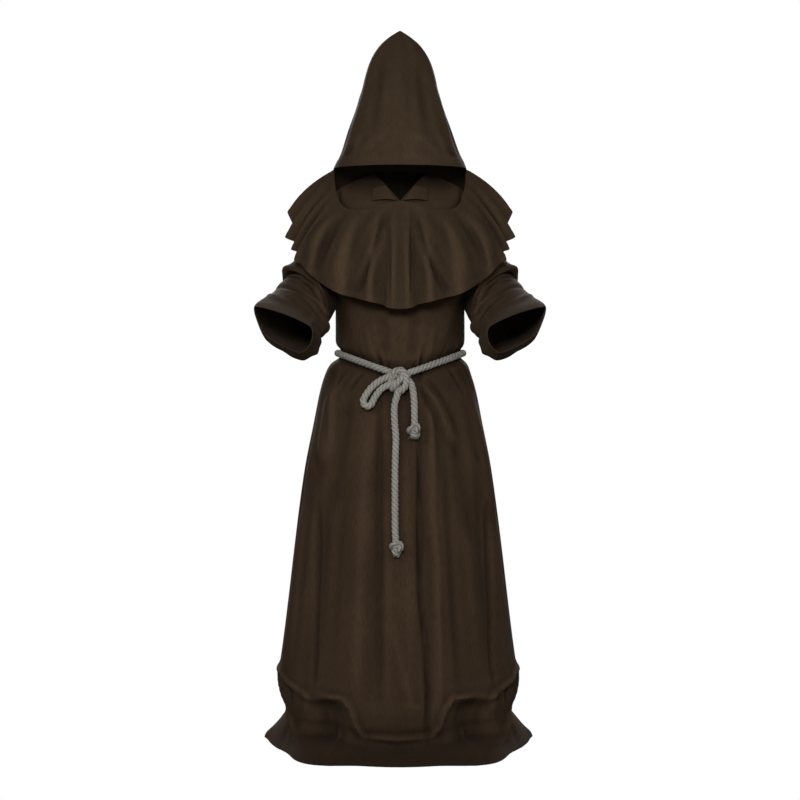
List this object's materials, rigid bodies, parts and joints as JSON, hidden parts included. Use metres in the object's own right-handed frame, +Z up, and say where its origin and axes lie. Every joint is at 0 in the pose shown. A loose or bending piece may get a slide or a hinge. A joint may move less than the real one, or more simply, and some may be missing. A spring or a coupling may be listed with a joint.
{
  "type": "hooded monk robe",
  "caption": "Worn hooded monk robe with fluted shoulder cape, open bell sleeves, hem on the floor and a knotted rope belt.",
  "frame": {"origin": "middle of the wearer's shoulder line, 1.42 m above the floor that the hem lies on", "axes": "+Z up, the front of the robe faces -Y, +X is to the right as seen from the front"},
  "size_m": [0.6798, 0.6332, 1.7958],
  "materials": {
    "robe_cloth": "matt dark brown plain weave with a soft sheen",
    "cape_cloth": "matt dark brown plain weave with a soft sheen",
    "hood_cloth": "matt dark brown plain weave with a soft sheen",
    "rope_fibre": "matt grey-beige twisted fibre"
  },
  "bodies": {
    "root": {"robe_front": "robe_cloth", "robe_back": "robe_cloth", "sleeve_left": "robe_cloth", "sleeve_right": "robe_cloth", "lapel_left": "cape_cloth", "lapel_right": "cape_cloth", "cape_front": "cape_cloth", "cape_back": "cape_cloth", "hood_left": "hood_cloth", "hood_right": "hood_cloth", "belt_waist": "rope_fibre", "belt_knot": "rope_fibre", "belt_loop": "rope_fibre", "belt_tail_long": "rope_fibre", "belt_tail_short": "rope_fibre", "tail_knot_long": "rope_fibre", "tail_knot_short": "rope_fibre"}
  },
  "joints": []
}
